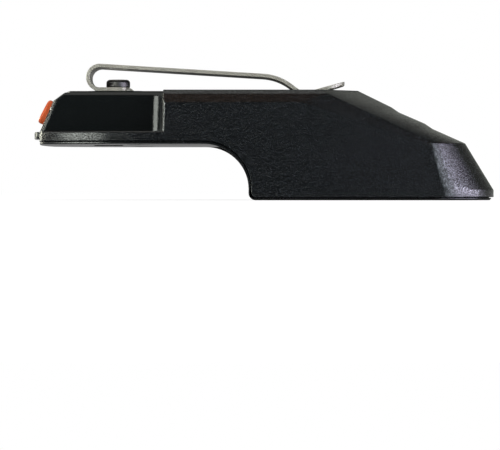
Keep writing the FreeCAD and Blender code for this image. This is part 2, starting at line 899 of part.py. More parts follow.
def frame_additions():
    """Rails, bosses, standoffs, the latch's pocket and the switch's cradle."""
    wall = bay_half_width + overrun
    plan = polygon([Vector(rail_front, -wall, rail_bottom),
                    Vector(rail_front, overrun - bay_half_width, rail_bottom),
                    Vector(rail_front + rail_lead, -rail_gap_half_width, rail_bottom),
                    Vector(bay_rear + overrun, -rail_gap_half_width, rail_bottom),
                    Vector(bay_rear + overrun, -wall, rail_bottom)])
    additions = both_sides(plan.extrude(Vector(0, 0, rail_thickness)))
    for x, y in deck_screw_places():
        additions.append(post(x, y, boss_radius, deck_height, deck_top + boss_height))
    for x, y in rear_screw_places():
        additions.append(post(x, y, boss_radius, rim_chamfer, rear_boss_height))
    for x, y in board_screw_places():
        additions.append(post(x, y, standoff_radius, deck_height, board_bottom))
    for x, y in block_screw_places():
        additions.append(post(x, y, standoff_radius, deck_height, board_bottom - seat_gap))
    additions.append(box(latch_front - latch_wall, latch_front + latch_length + latch_wall,
                         -latch_width / 2 - latch_wall, latch_width / 2 + latch_wall, deck_height,
                         deck_height + latch_depth + latch_roof))
    additions.extend(cradle(side) for side in (-1, 1))
    return additions


def frame_cutters():
    """Screw bores, head recesses, the latch's pocket and the slots for the blades' tails."""
    bore = housing_screw_radius + screw_gap
    recess = housing_screw_head_radius + head_gap
    cutters = []
    for x, y in deck_screw_places():
        cutters.append(post(x, y, bore, deck_height, deck_top + boss_height + overrun))
        cutters.append(post(x, y, recess, deck_height - overrun, deck_height + head_recess))
    for x, y in rear_screw_places():
        cutters.append(post(x, y, bore, 0, rear_boss_height + overrun))
        cutters.append(post(x, y, recess, -overrun, head_recess))
    for x, y in board_screw_places():
        cutters.append(post(x, y, board_screw_radius + screw_gap, board_top - board_screw_length - seat_gap,
                            board_bottom + overrun))
    for x, y in block_screw_places():
        cutters.append(post(x, y, terminal_screw_radius + screw_gap, deck_height - overrun,
                            block_bottom + terminal_screw_length + terminal_bore_gap))
    cutters.append(box(latch_front, latch_front + latch_length, -latch_width / 2, latch_width / 2,
                       deck_height - overrun, deck_height + latch_depth))
    for y in blade_places():
        cutters.append(blade_tail(y, blade_frame_gap, deck_height - overrun, deck_top + overrun))
    return cutters


def cradle(side):
    """Sloped rib on the deck that backs the switch board."""
    back = button_center + inward * (switch_board_start + switch_board_thickness)
    top = back + upward * cradle_above
    bottom = back - upward * ((back.z - deck_top + overrun / 2) / upward.z)
    rear = notch_rear - fit_gap * 2
    offset = Vector(0, side * cradle_offset - cradle_thickness / 2, 0)
    points = [bottom, top, Vector(rear, 0, top.z), Vector(rear, 0, bottom.z)]
    return polygon([point + offset for point in points]).extrude(Vector(0, cradle_thickness, 0))


# Terminals

def blade_places():
    return (-power_blade_offset, power_blade_offset, -signal_blade_offset, signal_blade_offset)


def blade_tail(y, margin, z0, z1):
    x0 = block_front + blade_tail_start - margin
    half = blade_thickness / 2 + margin
    return box(x0, x0 + blade_tail_width + 2 * margin, y - half, y + half, z0, z1)


def blade(y):
    """Upright blade that points to the open end, with a tail that rises through the board."""
    front = block_front - blade_reach
    rear = block_front + blade_tail_start + blade_tail_width
    middle = deck_height - block_height / 2
    low = middle - blade_height / 2
    high = middle + blade_height / 2
    cut = blade_nose_cut
    y0 = y - blade_thickness / 2
    points = [Vector(front, y0, low + cut), Vector(front, y0, high - cut), Vector(front + cut, y0, high),
              Vector(rear, y0, high), Vector(rear, y0, low), Vector(front + cut, y0, low)]
    body = polygon(points).extrude(Vector(0, blade_thickness, 0))
    tail = blade_tail(y, 0, middle, board_top + blade_tail_rise)
    return single(joined([body, tail]))


def terminal_block():
    block = box(block_front, bay_rear, -block_half_width, block_half_width, block_bottom, deck_height)
    edges = [edge for edge in block.Edges
             if edge.BoundBox.XMax < block_front + fit_gap or edge.BoundBox.ZMax < block_bottom + fit_gap]
    block = block.makeChamfer(block_chamfer, edges)
    for y in blade_places():
        block = block.cut(blade(y))
    grooves = (power_blade_offset + signal_blade_offset) / 2
    half = block_groove_width / 2
    for y in (-grooves, 0, grooves):
        block = block.cut(box(block_front - overrun, block_front + block_groove_length, y - half, y + half,
                              block_bottom - overrun, deck_height - block_groove_roof))
    for x, y in block_screw_places():
        block = block.cut(post(x, y, terminal_screw_radius + hole_gap, 0, far))
    return single(block)


def terminal_screws():
    screws = [pan_screw(x, y, block_bottom, Vector(0, 0, -1), terminal_screw_head_radius,
                        terminal_screw_head_height, terminal_screw_radius, terminal_screw_length)
              for x, y in block_screw_places()]
    return Part.makeCompound(screws)


# Belt clip

def strip(start, heading, moves):
    """Bent strip and the end of its middle line: moves are (length, 0) for a run or (radius, turn)."""
    half = clip_thickness / 2
    point = Vector(start)
    angle = math.radians(heading)
    left_edges = []
    right_edges = []

    def side_point(center, bearing, offset):
        return center + Vector(-math.sin(bearing), 0, math.cos(bearing)) * offset

    first = (side_point(point, angle, half), side_point(point, angle, -half))
    for size, turn in moves:
        if not turn:
            following = point + Vector(math.cos(angle), 0, math.sin(angle)) * size
            left_edges.append(line(side_point(point, angle, half), side_point(following, angle, half)))
            right_edges.append(line(side_point(point, angle, -half), side_point(following, angle, -half)))
            point = following
            continue
        sign = 1 if turn > 0 else -1
        center = side_point(point, angle, sign * size)
        end_angle = angle + math.radians(turn)
        middle_angle = (angle + end_angle) / 2
        for edges, offset in ((left_edges, half), (right_edges, -half)):
            radius = size - sign * offset
            edges.append(arc(side_point(center, angle, -sign * radius),
                             side_point(center, middle_angle, -sign * radius),
                             side_point(center, end_angle, -sign * radius)))
        point = side_point(center, end_angle, -sign * size)
        angle = end_angle
    last = (side_point(point, angle, half), side_point(point, angle, -half))
    wire = Part.Wire(Part.__sortEdges__(left_edges + right_edges
                                        + [line(first[0], first[1]), line(last[0], last[1])]))
    face = Part.Face(wire)
    face.translate(Vector(0, -clip_width / 2, 0))
    return face.extrude(Vector(0, clip_width, 0)), point


def belt_clip_tab():
    """Flat foot under the screw, with a narrow tongue that curls into the housing."""
    flat, end = strip(Vector(clip_bend_center, 0, clip_floor), 0, [(tab_length, 0)])
    rounded = rounded_box(clip_bend_center - far, clip_bend_center + tab_length, -clip_width / 2,
                          clip_width / 2, 0, far, tab_corner)
    flat = flat.common(rounded)
    root = 2 * overrun
    tongue, tail = strip(end - Vector(root, 0, 0), 0,
                         [(root, 0), (tongue_bend_radius, -tongue_bend_angle), (tongue_tail, 0)])
    tongue = tongue.common(box(-far, far, -tongue_neck_width / 2, tongue_neck_width / 2, -far, far))
    tab = joined([flat, tongue])
    return single(tab.cut(post(clip_screw_x, 0, clip_screw_radius + hole_gap, 0, far)))


def belt_clip_bend():
    """Open half turn between the foot and the arm."""
    start = Vector(clip_bend_center, 0, clip_floor)
    bend, end = strip(start, 180, [(clip_bend_radius, -180 - clip_arm_fall)])
    return bend


def belt_clip_arm():
    """Arm, drop, valley that rests in the roof's pocket, and the lifted tip."""
    fall = math.radians(clip_arm_fall)
    center = Vector(clip_bend_center, 0, clip_bend_height)
    start = center + Vector(math.sin(fall), 0, math.cos(fall)) * clip_bend_radius
    moves = [(clip_arm_length, 0), (clip_drop_radius, clip_arm_fall - clip_drop_angle),
             (clip_drop_length, 0), (clip_valley_radius, clip_drop_angle + clip_tip_angle),
             (clip_tip_length, 0)]
    arm, end = strip(start, -clip_arm_fall, moves)
    squared_end = end.x - clip_thickness / 2 * math.sin(math.radians(clip_tip_angle))
    plan = box(start.x - overrun, squared_end, -clip_width / 2, clip_width / 2, 0, far)
    tip_edges = [edge for edge in edges_along(plan, Vector(0, 0, 1)) if edge.CenterOfMass.x > start.x]
    plan = plan.makeFillet(clip_corner, tip_edges)
    arm = arm.common(plan)
    return single(arm.cut(post(clip_screw_x, 0, clip_access_radius, clip_bend_height, far)))


def clip_screw():
    return pan_screw(clip_screw_x, 0, pad_top + clip_thickness, Vector(0, 0, 1), clip_screw_head_radius,
                     clip_screw_head_height, clip_screw_radius, clip_screw_length)


def clip_nut():
    """Insert with a groove between its two knurled rings."""
    body = post(clip_screw_x, 0, clip_nut_radius, clip_nut_bottom, pad_top)
    low = clip_nut_bottom + (clip_nut_length - clip_nut_groove_length) / 2
    high = low + clip_nut_groove_length
    groove = post(clip_screw_x, 0, clip_nut_radius + overrun, low, high)
    groove = groove.cut(post(clip_screw_x, 0, clip_nut_radius - clip_nut_groove, 0, far))
    return single(body.cut(groove).cut(post(clip_screw_x, 0, clip_screw_radius + screw_gap, 0, far)))


# Push button and switch

def power_button():
    """Cap that stands proud of the slope, a flange behind the wall and a stem."""
    half = button_height / 2
    back = button_flange_depth + button_flange_thickness / 2
    side = polygon([Vector(-button_width / 2, -half, -button_proud - button_tilt),
                    Vector(-button_width / 2, half, -button_proud + button_tilt),
                    Vector(-button_width / 2, half, back), Vector(-button_width / 2, -half, back)])
    cap = side.extrude(Vector(button_width, 0, 0))
    cap = cap.makeFillet(button_corner, edges_along(cap, Vector(0, 0, 1)))
    face = min(cap.Faces, key=lambda item: item.CenterOfMass.z)
    cap = slope_placed(cap.makeFillet(button_edge_fillet, face.Edges), 0)
    flange = on_slope(button_flange_depth, button_width + 2 * button_flange, -half - button_flange, half,
                      button_flange_thickness, corner=button_flange_corner)
    stem = slope_post(stem_radius, back, button_flange_thickness / 2 + stem_length)
    return single(joined([cap, flange, stem]))


def switch_plunger():
    return slope_post(plunger_radius, switch_start - button_travel - travel_reserve, plunger_length)


def switch_housing():
    half = switch_size / 2
    body = on_slope(switch_start, switch_size, -half, half, switch_depth)
    body = body.makeChamfer(switch_chamfer, edges_along(body, inward))
    bore = slope_post(plunger_radius + screw_gap, switch_start - overrun,
                      overrun + plunger_length - travel_reserve)
    return single(body.cut(bore))


def header_height():
    """Height of the middle of the header's pins."""
    return board_top + header_block_height / 2


def header_places():
    return (header_offset - header_pitch / 2, header_offset + header_pitch / 2)


def header_pin(y, margin):
    """Square pin that runs forward through the switch board."""
    half = header_pin_size / 2 + margin
    z = header_height()
    board_x = button_center.x + inward.x * switch_board_start
    return box(board_x - 2 * overrun, notch_rear + header_block_length / 2, y - half, y + half,
               z - half, z + half)


def header_tail(y, margin):
    half = header_pin_size / 2 + margin
    x = notch_rear + header_block_lead + header_block_length / 2
    return box(x - half, x + half, y - half, y + half, board_bottom - pin_protrusion, header_height())


def switch_header():
    """Pin strip on the main board that carries the switch's signal."""
    front = notch_rear + header_block_lead
    pieces = [box(front, front + header_block_length, header_offset - header_pitch,
                  header_offset + header_pitch, board_top, board_top + header_block_height)]
    for y in header_places():
        pieces.append(header_pin(y, 0))
        pieces.append(header_tail(y, 0))
    return single(joined(pieces))


def switch_board():
    board = on_slope(switch_board_start, switch_board_width, -switch_board_below, switch_board_above,
                     switch_board_thickness, corner=switch_board_corner)
    for y in header_places():
        board = board.cut(header_pin(y, pin_gap))
    return single(board)


# Sockets

def socket_box(side, margin, x0, x1):
    """Block with the socket's outline, moved in by margin."""
    half = socket_width / 2 - margin
    y = side * socket_offset
    return box(x0, x1, y - half, y + half, socket_low + margin, socket_low + socket_height - margin)


def socket_legs(side, margin):
    """Solder legs at both sides of a socket."""
    legs = []
    half_length = leg_width / 2 + margin
    half = socket_sheet / 2 + margin
    for place in (front_leg_place, rear_leg_place):
        x = socket_mouth + place
        for edge in (-1, 1):
            y = side * socket_offset + edge * (socket_width - socket_sheet) / 2
            legs.append(box(x - half_length, x + half_length, y - half, y + half, board_top - leg_length,
                            socket_low + overrun))
    return legs


def usb_shell(side):
    """Folded sheet sleeve with spring tabs cut in its top and bottom, and solder legs."""
    rear = socket_mouth + socket_length
    sleeve = socket_box(side, 0, socket_mouth, rear)
    sleeve = sleeve.makeFillet(socket_corner, edges_along(sleeve, Vector(1, 0, 0)))
    sleeve = sleeve.cut(socket_box(side, socket_sheet, socket_mouth - overrun, rear + overrun))
    start = socket_mouth + spring_setback
    for offset in (-spring_pitch / 2, spring_pitch / 2):
        y = side * socket_offset + offset
        half = spring_width / 2
        tab = box(start, start + spring_length, y - half, y + half, 0, far)
        half = half - spring_slit
        spring = box(start - overrun, start + spring_length - spring_slit, y - half, y + half, 0, far)
        sleeve = sleeve.cut(tab.cut(spring))
    return single(joined([sleeve] + socket_legs(side, 0)))


def contact_places(side):
    middle = side * socket_offset
    return [middle + (index - 1.5) * contact_pitch for index in range(4)]


def tongue_low():
    return socket_low + socket_height / 2


def usb_contacts(side):
    """Four sprung strips under the tongue, bent down into the board behind the socket."""
    strips = []
    low = tongue_low() - contact_thickness
    for y in contact_places(side):
        half = contact_width / 2
        run = box(socket_mouth + tongue_start + contact_setback, contact_end, y - half, y + half, low,
                  tongue_low())
        half = contact_tail_width / 2
        drop = box(contact_end - contact_thickness, contact_end, y - half, y + half,
                   board_bottom - contact_protrusion, low)
        strips.append(single(joined([run, drop])))
    return Part.makeCompound(strips)


def usb_insert(side):
    """Plastic block with the thin tongue that carries the contacts."""
    block = socket_box(side, socket_sheet + sheet_fit, socket_mouth + insert_block_start,
                       socket_mouth + socket_length - socket_sheet)
    y = side * socket_offset
    front = socket_mouth + tongue_start
    tongue = box(front, socket_mouth + insert_block_start + overrun, y - tongue_width / 2,
                 y + tongue_width / 2, tongue_low(), tongue_low() + tongue_thickness)
    front_edges = [edge for edge in edges_along(tongue, Vector(0, 1, 0))
                   if edge.CenterOfMass.x < front + fit_gap]
    tongue = tongue.makeChamfer(tongue_chamfer, front_edges)
    return single(joined([block, tongue]).cut(usb_contacts(side)))


# Main board and its components

def board_places(part, offsets):
    """Places of components at a part of the board's length."""
    x = board_front + (board_rear - board_front) * part
    return [(x, y) for y in offsets]


def main_board():
    """Stepped board that fills the nose and the front of the body."""
    nose = box(board_front, board_shoulder + overrun, -board_nose_half_width, board_nose_half_width,
               board_bottom, board_top)
    body = rounded_box(board_shoulder, board_rear, -board_half_width, board_half_width, board_bottom,
                       board_top, board_corner)
    board = joined([nose, body])
    cutters = [box(board_front - overrun, notch_rear, -notch_width / 2, notch_width / 2, 0, far)]
    reach = boss_radius + boss_margin
    for x, y in deck_screw_places():
        cutters.append(post(x, y, reach, 0, far))
        if x < board_shoulder:
            cutters.append(box(x - reach, x + reach, min(y, y * far), max(y, y * far), 0, far))
    for x, y in board_screw_places():
        cutters.append(post(x, y, board_screw_radius + hole_gap, 0, far))
    for x, y in block_screw_places():
        cutters.append(post(x, y, terminal_screw_radius + hole_gap, 0, far))
    for y in blade_places():
        cutters.append(blade_tail(y, blade_board_gap, 0, far))
    for y in header_places():
        cutters.append(header_tail(y, pin_gap))
    for side in (-1, 1):
        cutters.extend(socket_legs(side, leg_gap))
        half = contact_tail_width / 2 + pin_gap
        for y in contact_places(side):
            cutters.append(box(contact_end - contact_thickness - pin_gap, contact_end + pin_gap, y - half,
                               y + half, 0, far))
    for cutter in cutters:
        board = board.cut(cutter)
    return single(board)


def can_capacitor(x, y, radius, height):
    """Rolled can with a groove above its square foot."""
    foot = radius + can_foot_margin
    base = box(x - foot, x + foot, y - foot, y + foot, board_top, board_top + can_foot_height)
    corners = [edge for edge in edges_along(base, Vector(0, 0, 1)) if edge.CenterOfMass.x < x]
    base = base.makeChamfer(radius * can_corner_share, corners)
    low = can_foot_height / 2
    groove = can_foot_height + can_groove_low
    waist = radius - can_groove_depth
    profile = [Vector(0, 0, low), Vector(radius, 0, low), Vector(radius, 0, groove),
               Vector(waist, 0, groove + can_groove_height / 2),
               Vector(radius, 0, groove + can_groove_height), Vector(radius, 0, height - can_edge),
               Vector(radius - can_edge, 0, height), Vector(0, 0, height)]
    can = polygon(profile).revolve(Vector(0, 0, 0), Vector(0, 0, 1), 360)
    can.translate(Vector(x, y, board_top))
    return single(joined([base, can]))


def input_capacitors():
    places = board_places(input_can_share, (-input_can_pitch, 0, input_can_pitch))
    return Part.makeCompound([can_capacitor(x, y, input_can_radius, input_can_height) for x, y in places])


def output_capacitors():
    places = board_places(output_can_share, (-output_can_offset, output_can_offset))
    return Part.makeCompound([can_capacitor(x, y, output_can_radius, output_can_height) for x, y in places])


def power_inductors():
    """Pressed square cores with cut corners and end terminals."""
    half = core_size / 2
    half_foot = core_foot_width / 2
    cores = []
    for x, y in board_places(core_share, (-core_offset, core_offset)):
        core = box(x - half, x + half, y - half, y + half, board_top, board_top + core_height)
        pieces = [core.makeChamfer(core_chamfer, edges_along(core, Vector(0, 0, 1)))]
        for end in (-1, 1):
            inner = x + end * (half + core_foot_reach - core_foot_length)
            outer = x + end * (half + core_foot_reach)
            pieces.append(box(min(inner, outer), max(inner, outer), y - half_foot, y + half_foot,
                              board_top, board_top + core_foot_height))
        cores.append(single(joined(pieces)))
    return Part.makeCompound(cores)


def flat_package(x, y, length, width, height, leads):
    """Moulded package with gull-wing leads on two sides."""
    body = box(x - length / 2, x + length / 2, y - width / 2, y + width / 2, board_top + package_standoff,
               board_top + height)
    top_edges = [edge for edge in body.Edges if edge.BoundBox.ZMin > board_top + height / 2]
    pieces = [body.makeChamfer(package_chamfer, top_edges)]
    pitch = length / leads
    for index in range(leads):
        place = x - length / 2 + pitch * (index + 0.5)
        for side in (-1, 1):
            inner = y + side * (width / 2 - lead_root)
            outer = y + side * (width / 2 + lead_reach)
            pieces.append(box(place - lead_width / 2, place + lead_width / 2, min(inner, outer),
                              max(inner, outer), board_top, board_top + lead_height))
    return single(joined(pieces))


def converter_chips():
    places = board_places(chip_share, (-core_offset, core_offset))
    return Part.makeCompound([flat_package(x, y, chip_length, chip_width, chip_height, chip_leads)
                              for x, y in places])


def rectifier_diodes():
    offset = half_width - diode_side_inset
    places = board_places(diode_share, (-offset, offset))
    return Part.makeCompound([flat_package(x, y, diode_length, diode_width, diode_height, diode_leads)
                              for x, y in places])


def input_fuse():
    """Ceramic body held between two end caps."""
    x, y = board_places(fuse_share, (-fuse_offset,))[0]
    z = board_top + fuse_axis_height
    axis = Vector(1, 0, 0)
    front = x - fuse_length / 2
    rear = x + fuse_length / 2
    half_foot = fuse_foot_width / 2
    pieces = [Part.makeCylinder(fuse_radius, fuse_length - fuse_cap_length,
                                Vector(front + fuse_cap_length / 2, y, z), axis)]
    for start in (front, rear - fuse_cap_length):
        pieces.append(Part.makeCylinder(fuse_cap_radius, fuse_cap_length, Vector(start, y, z), axis))
        middle = start + fuse_cap_length / 2
        pieces.append(box(middle - fuse_foot_length / 2, middle + fuse_foot_length / 2, y - half_foot,
                          y + half_foot, board_top, board_top + fuse_foot_height))
    return single(joined(pieces))


def board_screws():
    screws = [pan_screw(x, y, board_top, Vector(0, 0, 1), board_screw_head_radius, board_screw_head_height,
                        board_screw_radius, board_screw_length) for x, y in board_screw_places()]
    return Part.makeCompound(screws)


def housing_screws():
    seats = [(x, y, deck_height + head_recess) for x, y in deck_screw_places()]
    seats += [(x, y, head_recess) for x, y in rear_screw_places()]
    screws = [pan_screw(x, y, seat, Vector(0, 0, -1), housing_screw_head_radius, housing_screw_head_height,
                        housing_screw_radius, housing_screw_length) for x, y, seat in seats]
    return Part.makeCompound(screws)


def signal_blades():
    return Part.makeCompound([blade(y) for y in (-signal_blade_offset, signal_blade_offset)])


def build():
    """Every sub-part by its name."""
    return {
        "upper_housing": upper_housing(),
        "rail_frame": rail_frame(),
        "belt_clip_tab": belt_clip_tab(),
        "belt_clip_bend": belt_clip_bend(),
        "belt_clip_arm": belt_clip_arm(),
        "clip_screw": clip_screw(),
        "clip_nut": clip_nut(),
        "power_button": power_button(),
        "switch_plunger": switch_plunger(),
        "switch_housing": switch_housing(),
        "switch_board": switch_board(),
        "switch_header": switch_header(),
        "usb_shell_right": usb_shell(-1),
        "usb_shell_left": usb_shell(1),
        "usb_insert_right": usb_insert(-1),
        "usb_insert_left": usb_insert(1),
        "usb_contacts_right": usb_contacts(-1),
        "usb_contacts_left": usb_contacts(1),
        "main_board": main_board(),
        "power_inductors": power_inductors(),
        "input_capacitors": input_capacitors(),
        "output_capacitors": output_capacitors(),
        "converter_chips": converter_chips(),
        "rectifier_diodes": rectifier_diodes(),
        "input_fuse": input_fuse(),
        "terminal_block": terminal_block(),
        "positive_blade": blade(-power_blade_offset),
        "negative_blade": blade(power_blade_offset),
        "signal_blades": signal_blades(),
        "terminal_screws": terminal_screws(),
        "board_screws": board_screws(),
        "housing_screws": housing_screws(),
    }


os.makedirs("parts", exist_ok=True)
for name, shape in build().items():
    shape.exportStep(os.path.join("parts", name + ".step"))
    print(name, len(shape.Solids), "solid(s)", round(shape.Volume, 1), "mm3")
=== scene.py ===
import json
import math

import bmesh
import bpy
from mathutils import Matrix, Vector
from mathutils.bvhtree import BVHTree


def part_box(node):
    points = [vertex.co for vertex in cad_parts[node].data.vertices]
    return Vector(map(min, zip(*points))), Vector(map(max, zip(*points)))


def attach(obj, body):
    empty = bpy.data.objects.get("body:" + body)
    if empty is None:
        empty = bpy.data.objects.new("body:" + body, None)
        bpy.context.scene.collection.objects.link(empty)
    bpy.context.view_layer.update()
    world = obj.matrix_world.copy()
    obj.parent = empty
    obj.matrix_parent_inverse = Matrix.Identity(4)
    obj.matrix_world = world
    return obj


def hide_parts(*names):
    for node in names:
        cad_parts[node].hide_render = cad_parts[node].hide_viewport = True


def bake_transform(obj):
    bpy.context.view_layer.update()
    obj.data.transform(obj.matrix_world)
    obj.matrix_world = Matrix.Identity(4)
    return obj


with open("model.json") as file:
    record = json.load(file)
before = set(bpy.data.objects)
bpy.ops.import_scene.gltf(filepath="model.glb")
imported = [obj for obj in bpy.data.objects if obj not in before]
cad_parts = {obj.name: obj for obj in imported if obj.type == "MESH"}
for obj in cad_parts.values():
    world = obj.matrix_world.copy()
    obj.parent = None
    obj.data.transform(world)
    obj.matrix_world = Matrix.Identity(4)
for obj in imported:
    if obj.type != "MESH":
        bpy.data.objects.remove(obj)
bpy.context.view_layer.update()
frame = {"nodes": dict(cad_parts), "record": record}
mm = 0.001
scene = bpy.context.scene
print("frame loaded:", len(frame["nodes"]), "nodes")


# Shader maths

class Wire:  # a node's output, so that masks and patterns read as sums
    def __init__(self, recipe, socket):
        self.recipe = recipe
        self.socket = socket

    def calc(self, operation, *values):
        return self.recipe.node("Math", {"operation": operation}, values)

    def __add__(self, other):
        return self.calc("ADD", self, other)

    def __radd__(self, other):
        return self.calc("ADD", other, self)

    def __sub__(self, other):
        return self.calc("SUBTRACT", self, other)

    def __rsub__(self, other):
        return self.calc("SUBTRACT", other, self)

    def __mul__(self, other):
        return self.calc("MULTIPLY", self, other)

    def __rmul__(self, other):
        return self.calc("MULTIPLY", other, self)

    def __gt__(self, other):
        return self.calc("GREATER_THAN", self, other)

    def __lt__(self, other):
        return self.calc("LESS_THAN", self, other)

    def __or__(self, other):
        return self.calc("MAXIMUM", self, other)

    def apart(self, center):  # distance from a value
        return self.calc("ABSOLUTE", self - center)

    def repeated(self, pitch):  # distance from the middle of a repeat
        return self.calc("FLOORED_MODULO", self, pitch).apart(pitch / 2)

    def ramp(self, low, high, start=0.0, end=1.0):  # eases from start to end between low and high
        inputs = {"Value": self, "From Min": low, "From Max": high, "To Min": start, "To Max": end}
        return self.recipe.node("MapRange", {"interpolation_type": "SMOOTHSTEP"}, inputs, "Result")


class Recipe:  # one material's or the world's nodes
    def __init__(self, owner):
        owner.use_nodes = True
        self.tree = owner.node_tree
        self.tree.nodes.clear()

    def node(self, kind, settings=None, inputs=None, output=0):
        made = self.tree.nodes.new("ShaderNode" + kind)
        for name, value in (settings or {}).items():
            setattr(made, name, value)
        pairs = inputs.items() if isinstance(inputs, dict) else enumerate(inputs or ())
        for name, value in pairs:
            socket = made.inputs[name]
            if isinstance(value, Wire):
                self.tree.links.new(value.socket, socket)
            else:
                socket.default_value = value
        return Wire(self, made.outputs[output]) if made.outputs else None

    def place(self):  # the piece's own coordinates, in metres
        return self.node("TexCoord", output="Object")

    def stretched(self, factors):
        return self.node("VectorMath", {"operation": "MULTIPLY"}, [self.place(), factors])

    def axes(self, letters, vector=None):  # the named ones of those coordinates
        vector = vector or self.place()
        return [self.node("SeparateXYZ", None, {"Vector": vector}, letter) for letter in letters]

    def box(self, low, high):  # 1 inside a box given in mm, 0 outside
        sides = [(value > start * mm) * (value < end * mm)
                 for value, start, end in zip(self.axes("XYZ"), low, high)]
        return sides[0] * sides[1] * sides[2]

    def colours(self, mask, first, second):  # a Mix node takes colours at 6 and 7, and gives one at 2
        pair = [colour if isinstance(colour, Wire) else (*colour, 1) for colour in (first, second)]
        return self.node("Mix", {"data_type": "RGBA"}, {0: mask, 6: pair[0], 7: pair[1]}, 2)

    def noise(self, size, detail=3.0, roughness=0.6, vector=None):  # spots of about that size in mm
        inputs = {"Vector": vector or self.place(), "Scale": 1 / (size * mm), "Detail": detail,
                  "Roughness": roughness}
        return self.node("TexNoise", None, inputs, "Fac")

    def bump(self, height, depth):  # depth in mm
        return self.node("Bump", None, {"Distance": depth * mm, "Height": height})

    def path(self, kind):
        return self.node("LightPath", output=kind)

    def seen(self):  # 1 for what the lens looks at, also through clear pieces
        return self.path("Is Camera Ray") | self.path("Is Transmission Ray")

    def principled(self, **values):
        inputs = {name.replace("_", " "): value for name, value in values.items()}
        self.surface(self.node("BsdfPrincipled", None, inputs))

    def surface(self, shader):
        self.node("OutputMaterial", None, {"Surface": shader})


def newMaterial(name):
    material = bpy.data.materials.new(name)
    return material, Recipe(material)


def lighter(colour, factor):
    return [value * factor for value in colour]


# Finishes. Sizes and depths are in mm, and a pair of noise values says where a ramp starts and ends.

noiseMean = 0.5                     # of a noise texture's values

housingFacts = {
    "bodyColour": (0.0066, 0.0086, 0.0106),
    "noseColour": (0.0045, 0.0062, 0.0066),
    "noseClouded": 1.25,            # how much lighter the nose gets in places
    "noseEnd": -26.6,               # the nose is smoother up to here, apart from its flange
    "flangeTop": 18.3,
    "lipRoot": -60.5,               # the lip in front of the flange is smooth too
    "roofStart": 28.9,
    "edge": 0.2,                    # over which one surface turns into the next
    "bodyRoughness": 0.23,
    "noseRoughness": 0.22,
    "roofRoughness": 0.48,
    "cloud": 16.0,
    "cloudRoughness": 0.08,
    "specular": 0.35,
    "coat": 0.75,                   # the spark pattern's peaks are glossier than its dips
    "coatRoughness": 0.23,
    "grain": 0.39,                  # of the moulded spark pattern
    "peaks": (0.38, 0.62),
    # where the spark grain's peaks are painted lighter: painted glints
    "paintedGlintSpecks": (0.52, 0.66),
    "dipColour": 0.45,              # of the body's colour
    # of the body's colour, for the painted glints on the grain's peaks
    "paintedGlintColour": 2.3,
    "bodyDepth": 0.11,
    "noseDepth": 0.002,
    "rubLow": (4.0, -9.5, 28.0),    # where the clip's tip rubs
    "rubHigh": (24.0, 9.5, 30.0),
    "rubColour": (0.05, 0.05, 0.05),
    "rubShare": 0.5,
    "rubPolish": 0.12,
    "scratch": 1.2,
    "scratchStretch": (0.2, 1.5, 1.0),
    "scratches": (0.6, 0.75),
}


def housingPlastic(facts):
    material, recipe = newMaterial("housing_plastic")
    x, z = recipe.axes("XZ")
    edge = facts["edge"]
    behind = x.ramp((facts["noseEnd"] - edge) * mm, (facts["noseEnd"] + edge) * mm)
    below = z.ramp(facts["flangeTop"] * mm, (facts["flangeTop"] + edge) * mm, 1.0, 0.0)
    past = x.ramp((facts["lipRoot"] - edge) * mm, facts["lipRoot"] * mm)
    sparked = (behind | below) * past
    roof = z.ramp(facts["roofStart"] * mm, (facts["roofStart"] + edge) * mm) * behind

    grain = recipe.noise(facts["grain"], detail=2.0)
    cloud = recipe.noise(facts["cloud"])
    along = recipe.stretched(facts["scratchStretch"])
    scratch = recipe.noise(facts["scratch"], detail=4.0, roughness=0.7, vector=along)
    rub = recipe.box(facts["rubLow"], facts["rubHigh"]) * scratch.ramp(*facts["scratches"])

    nose = recipe.colours(cloud, facts["noseColour"], lighter(facts["noseColour"], facts["noseClouded"]))
    # the body's colour, with the spark grain's peaks painted lighter as painted glints over the darker dips
    body = recipe.colours(grain.ramp(*facts["paintedGlintSpecks"]), lighter(facts["bodyColour"], facts["dipColour"]),
                          lighter(facts["bodyColour"], facts["paintedGlintColour"]))
    colour = recipe.colours(sparked, nose, body)
    roughness = (facts["bodyRoughness"] - facts["noseRoughness"]) * sparked + facts["noseRoughness"]
    roughness = (facts["roofRoughness"] - facts["bodyRoughness"]) * roof + roughness
    uneven = (cloud - noiseMean) * facts["cloudRoughness"] - rub * facts["rubPolish"]
    depth = (facts["bodyDepth"] - facts["noseDepth"]) * sparked + facts["noseDepth"]
    recipe.principled(Base_Color=recipe.colours(rub * facts["rubShare"], colour, facts["rubColour"]),
                      Roughness=roughness + uneven, Specular_IOR_Level=facts["specular"],
                      Coat_Weight=sparked * grain.ramp(*facts["peaks"]) * (1 - roof) * facts["coat"],
                      Coat_Roughness=facts["coatRoughness"],
                      Normal=recipe.bump(grain * depth * (1 / facts["bodyDepth"]), facts["bodyDepth"]))
    return material


mouldedFacts = {
    "cloud": 14.0,
    "clouds": (0.35, 0.7),
    "clouded": 1.25,
    "cloudRoughness": 0.12,
    "grainRoughness": 0.1,
}
mouldings = {
    "frame_plastic": {"colour": (0.0050, 0.0062, 0.0070), "roughness": 0.28, "grain": 0.5, "depth": 0.03},
    "button_plastic": {"colour": (0.66, 0.105, 0.02), "roughness": 0.42, "grain": 0.5, "depth": 0.01},
    "switch_plastic": {"colour": (0.02, 0.02, 0.02), "roughness": 0.45, "grain": 0.3, "depth": 0.01},
    "socket_plastic": {"colour": (0.012, 0.012, 0.013), "roughness": 0.4, "grain": 0.3, "depth": 0.008},
    "terminal_plastic": {"colour": (0.016, 0.016, 0.017), "roughness": 0.5, "grain": 0.4, "depth": 0.02},
}


